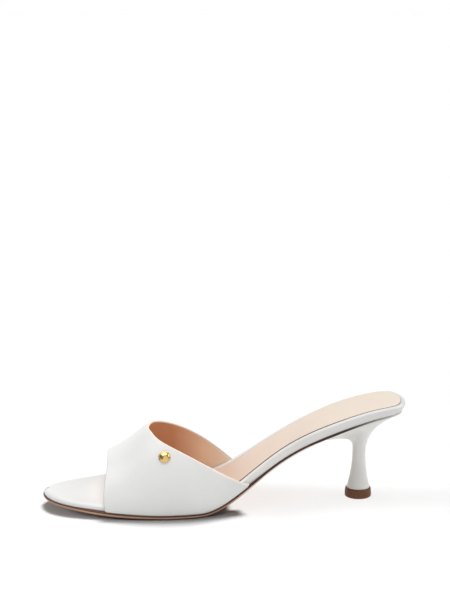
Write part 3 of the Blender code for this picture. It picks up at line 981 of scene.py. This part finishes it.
def shell(name, outer, inner, start, end, short, materials, steps=7, collar_strip=0):
    """A closed skin between two shares of the wall's thickness, with round front and collar edges.

    outer and inner are (across, along, 3). short trims both edges, in millimetres, and steps rounds them.
    The last material is the edges', and covers the outermost collar_strip faces beside the collar too.
    """
    def trimmed(points):
        rows = []
        for row in points:
            reached = np.concatenate([[0], np.cumsum(np.linalg.norm(np.diff(row, axis=0), axis=-1))])
            wanted = short + reached * (1 - 2 * short / reached[-1])
            rows.append(np.stack([np.interp(wanted, reached, row[:, axis]) for axis in range(3)], -1))
        return np.array(rows)

    thickness = inner - outer
    low = trimmed(outer + thickness * start)
    high = trimmed(outer + thickness * end)
    centre = (low + high) / 2
    reach = (high - low) / 2
    size = np.linalg.norm(reach, axis=-1, keepdims=True)
    stations = range(low.shape[1])
    columns = [low[:, k] for k in stations]

    def edge(k, beyond):
        way = centre[:, k] - centre[:, beyond]
        way = way / np.linalg.norm(way, axis=-1, keepdims=True)
        turns = np.linspace(0, math.pi, steps + 2)[1:-1]
        return [
            centre[:, k] - reach[:, k] * math.cos(t) + way * size[:, k] * math.sin(t) for t in turns
        ]

    columns += edge(-1, -2)
    columns += [high[:, k] for k in stations][::-1]
    columns += edge(0, 1)[::-1]
    loops = np.stack(columns, 1)
    count = len(stations)
    rim_slot = len(materials) - 1
    slots = [0] * (count - 1 - collar_strip) + [rim_slot] * (collar_strip + steps + 1)
    slots += [0] * (count - 1) + [rim_slot] * (steps + 1)
    return lofted(
        name, place(loops[..., 0], loops[..., 1], loops[..., 2]), materials, slots, sharp=60,
        cap=strip_cap(2 * count + steps - 1),
    )


def make_band():
    white = leather("upper_white_leather", [
        Stop(30, (0.78, 0.78, 0.765)), Stop(80, (0.77, 0.77, 0.755)), Stop(130, (0.735, 0.735, 0.72)),
    ], 0.40, 0.65, 0.02, 0.06)
    # The band's edges carry painted light: grey at the front edge as painted shade, cream and pink along
    # the collar and the faces beside it as a painted highlight and a painted reflection of the lining.
    edge = leather("band_edge_painted_light", [
        Stop(38, (0.66, 0.64, 0.62)), Stop(46, (0.70, 0.68, 0.66)), Stop(60, (0.95, 0.80, 0.69)),
        Stop(95, (0.95, 0.83, 0.74)), Stop(116, (0.86, 0.79, 0.73)), Stop(130, (0.79, 0.76, 0.72)),
    ], 0.5, 0.65, 0.02)
    # The lining's stops are painted shade: dark towards the front, deep under the crest, and pale towards
    # the collar where the lamps reach in.
    tan = leather("lining_leather_painted_shade", [
        Stop(40, (0.76, 0.375, 0.21)), Stop(84, (0.72, 0.35, 0.19)), Stop(104, (0.93, 0.66, 0.46)),
        Stop(122, (0.96, 0.81, 0.65)),
    ], 0.55, 0.9, 0.03)
    half_wall = BAND_WALL / 2
    skin = 1 - LINING_THICK / BAND_WALL
    outer, inner = band_pairs(spread(BAND_SHARES))
    upper = shell(
        "upper_leather", outer, inner, 0.0, skin, half_wall * RIM_TRIM, [white, edge], collar_strip=2,
    )
    shown(upper, "vamp")
    lining = shell(
        "upper_lining", outer, inner, skin + LINING_GAP, 1.0, LINING_SHORT + half_wall, [tan], steps=3,
    )
    shown(lining, "vamp")


# ---------------------------------------------------------------- heel, top piece and stud


def seat_outline(count):
    """The heel seat as azimuths in degrees and (run, side) points round the heel's axis."""
    turns = np.linspace(0.02, math.pi, 400)
    inset = SEAT_INSET + back_tuck(LENGTH / 2 * (1 - np.cos(turns)))
    runs, sides = [], []
    for side, order in ((1, slice(None)), (-1, slice(None, None, -1))):
        run, across = edge_at(side, turns[order], -inset[order])
        runs.append(run)
        sides.append(across)
    run = np.concatenate(runs) - HEEL_RUN
    across = np.concatenate(sides)
    azimuths = np.degrees(np.arctan2(across, run))
    order = np.argsort(azimuths)
    wanted = np.arange(count) * 360 / count - 180
    radius = np.interp(wanted, azimuths[order], np.hypot(run, across)[order], period=360)
    forward = np.maximum(-np.cos(np.radians(wanted)), 1e-6)
    to_lip = (HEEL_RUN - LIP_RUN) / forward
    capped = (radius ** -SEAT_CORNER + to_lip ** -SEAT_CORNER) ** (-1 / SEAT_CORNER)
    radius = np.where(forward > 0.01, capped, radius)
    turned_by = np.radians(wanted)
    return wanted, HEEL_RUN + radius * np.cos(turned_by), radius * np.sin(turned_by)


def make_heel():
    white = leather("heel_covering", [
        Stop(160, (0.68, 0.675, 0.65)), Stop(LENGTH, (0.70, 0.695, 0.67)),
    ], 0.40, 0.6, 0.018, 0.05)
    azimuth, seat_run, seat_side = seat_outline(144)
    start_of = smooth_curve(column(FLARE, "azimuth"), column(FLARE, "start"))
    wall_of = smooth_curve(column(FLARE, "azimuth"), column(FLARE, "wall"))
    turned_by = np.radians(azimuth)
    foot = TOP_PIECE_HIGH + TOUCH
    loops = []
    for angle in np.radians([0, 30, 60]):
        radius = HEEL_FOOT_RADIUS - HEEL_FOOT_SOFT * (1 - math.sin(angle))
        height = foot + HEEL_FOOT_SOFT * (1 - math.cos(angle))
        loops.append((HEEL_RUN + radius * np.cos(turned_by), radius * np.sin(turned_by), height))
    for share in np.linspace(0.02, 1, 30):
        height = foot + (THROAT_HEIGHT - foot) * share
        radius = THROAT_RADIUS + (HEEL_FOOT_RADIUS - THROAT_RADIUS) * (1 - share) ** 2
        axis = HEEL_RUN + HEEL_LEAN * height / THROAT_HEIGHT
        loops.append((axis + radius * np.cos(turned_by), radius * np.sin(turned_by), height))
    start = start_of(np.abs(azimuth))
    wall = wall_of(np.abs(azimuth))
    stem_run = HEEL_RUN + HEEL_LEAN + THROAT_RADIUS * np.cos(turned_by)
    stem_side = THROAT_RADIUS * np.sin(turned_by)
    top = underside(seat_run) - upright(TOUCH, seat_run) + CUP_RISE
    for rise in 1 - (1 - np.linspace(0, 1, 49)[1:]) ** 1.35:
        opened = 1 - (1 - rise ** start) ** wall
        loops.append((
            stem_run + (seat_run - stem_run) * opened,
            stem_side + (seat_side - stem_side) * opened,
            THROAT_HEIGHT + (top - THROAT_HEIGHT) * rise,
        ))
    for share in (0.9, 0.6, 0.3):
        run = HEEL_RUN + (seat_run - HEEL_RUN) * share
        loops.append((run, seat_side * share, underside(run) - TOUCH))
    points = np.array([place(*loop) for loop in loops])
    shown(lofted("heel_covered", points, [white]), "heel")


def make_top_piece():
    brown = rubber("top_piece_rubber", (0.120, 0.043, 0.018), (0.140, 0.052, 0.024))
    high, radius = TOP_PIECE_HIGH, TOP_PIECE_RADIUS
    corner = radius - TOP_PIECE_ROUND
    profile = [(0.0, 0.0), (radius - 1.6, 0.0)]
    for angle in np.radians(np.linspace(10, 90, 7)):
        out = corner + TOP_PIECE_ROUND * math.sin(angle)
        profile.append((out, TOP_PIECE_ROUND * (1 - math.cos(angle))))
    for share in np.linspace(0.3, 0.9, 7):
        profile.append((radius - 0.35 * (share - 0.3) ** 2 / 0.36, high * share))
    profile += [(radius - 0.45, high - 0.25), (radius - 0.6, high - 0.07)]
    profile += [(radius - 0.9, high), (0.0, high)]
    piece = turned("top_piece_rubber", profile, 96, brown)
    piece.data.transform(Matrix.Translation(Vector(place(HEEL_RUN, 0, 0))))
    shown(piece, "top_piece")


def make_stud():
    gold = metal("stud_gold", (0.80, 0.55, 0.22), 0.2)
    profile = [(0.0, TOUCH), (STUD_RADIUS - 0.3, TOUCH), (STUD_RADIUS - 0.05, 0.15), (STUD_RADIUS, 0.35)]
    profile += [(STUD_RADIUS - 0.1, 0.6), (STUD_RADIUS - 0.35, 0.72), (STUD_RADIUS - 0.6, 0.66)]
    dome = STUD_RADIUS - 0.7
    for angle in np.radians(np.linspace(0, 90, 16)):
        profile.append((dome * math.cos(angle), DOME_FOOT + (STUD_HIGH - DOME_FOOT) * math.sin(angle)))
    piece = turned("stud_dome", profile, 64, gold, sharp=60)
    run, angle = np.array([STUD_RUN]), np.array([STUD_ANGLE])
    normal = Vector(band_normal(run, angle)[0])
    turn = normal.to_track_quat("Z", "Y").to_matrix().to_4x4()
    turn.translation = Vector(place(*band_point(run, angle)[0]))
    piece.data.transform(turn)
    shown(piece, "stud")


# ---------------------------------------------------------------- studio


def make_floor():
    material, tree, shader, where = new_material("studio_floor")
    soft = noise(tree, where, 180.0, 2.0)
    tree.links.new(mixed(tree, soft, FLOOR_DARK, FLOOR_PALE), shader.inputs["Base Color"])
    shader.inputs["Roughness"].default_value = 0.9
    shader.inputs["Specular IOR Level"].default_value = 0.1
    mesh = bpy.data.meshes.new("studio_floor")
    ends = (-FLOOR_REACH, FLOOR_REACH)
    mesh.from_pydata([(x, y, 0) for x in ends for y in ends], [], [(0, 2, 3, 1)])
    mesh.materials.append(material)
    floor = bpy.data.objects.new("studio_floor", mesh)
    bpy.context.scene.collection.objects.link(floor)
    floor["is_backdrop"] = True
    return floor


def make_world():
    """Surroundings that light faintly and are seen as white."""
    world = bpy.data.worlds.new("studio")
    world.use_nodes = True
    tree = world.node_tree
    tree.nodes.clear()
    fill = add(tree, "ShaderNodeBackground", Strength=WORLD_FILL, Color=(1, 1, 1, 1))
    white = add(tree, "ShaderNodeBackground", Strength=1.0, Color=(1, 1, 1, 1))
    seen = add(tree, "ShaderNodeLightPath")
    either = add(tree, "ShaderNodeMixShader")
    out = add(tree, "ShaderNodeOutputWorld")
    tree.links.new(seen.outputs["Is Camera Ray"], either.inputs["Fac"])
    tree.links.new(fill.outputs["Background"], either.inputs[1])
    tree.links.new(white.outputs["Background"], either.inputs[2])
    tree.links.new(either.outputs["Shader"], out.inputs["Surface"])
    bpy.context.scene.world = world


def make_lights(groups):
    for row in LIGHTS:
        light = bpy.data.lights.new(row.name, "SUN")
        light.energy = row.strength * math.pi
        light.angle = math.radians(row.softness)
        lamp = bpy.data.objects.new(row.name, light)
        lamp.rotation_euler = Vector(row.towards).to_track_quat("Z", "Y").to_euler()
        bpy.context.scene.collection.objects.link(lamp)
        lamp.light_linking.receiver_collection = groups[row.lights]
        if row.shaded_by:
            lamp.light_linking.blocker_collection = groups[row.shaded_by]


def make_camera():
    data = bpy.data.cameras.new("camera")
    data.lens = CAMERA_LENS
    data.sensor_width = CAMERA_SENSOR
    data.clip_end = CAMERA_REACH
    camera = bpy.data.objects.new("camera", data)
    camera.location = Vector(place(*CAMERA_PLACE))
    camera.rotation_euler = (math.radians(90 - CAMERA_DOWN), 0, math.radians(-CAMERA_TURN))
    bpy.context.scene.collection.objects.link(camera)
    bpy.context.scene.camera = camera


def main():
    scene = bpy.context.scene
    scene.view_settings.view_transform = "Standard"
    make_camera()
    groups = {name: bpy.data.collections.new(name) for name in ("shoe", "floor", "front")}
    make_world()
    make_lights(groups)
    groups["floor"].objects.link(make_floor())
    make_outsole()
    make_board()
    make_sock()
    make_band()
    make_heel()
    make_top_piece()
    make_stud()
    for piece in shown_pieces():
        groups["shoe"].objects.link(piece)
        if piece.name in FLOOR_SHADERS:
            groups["front"].objects.link(piece)


main()
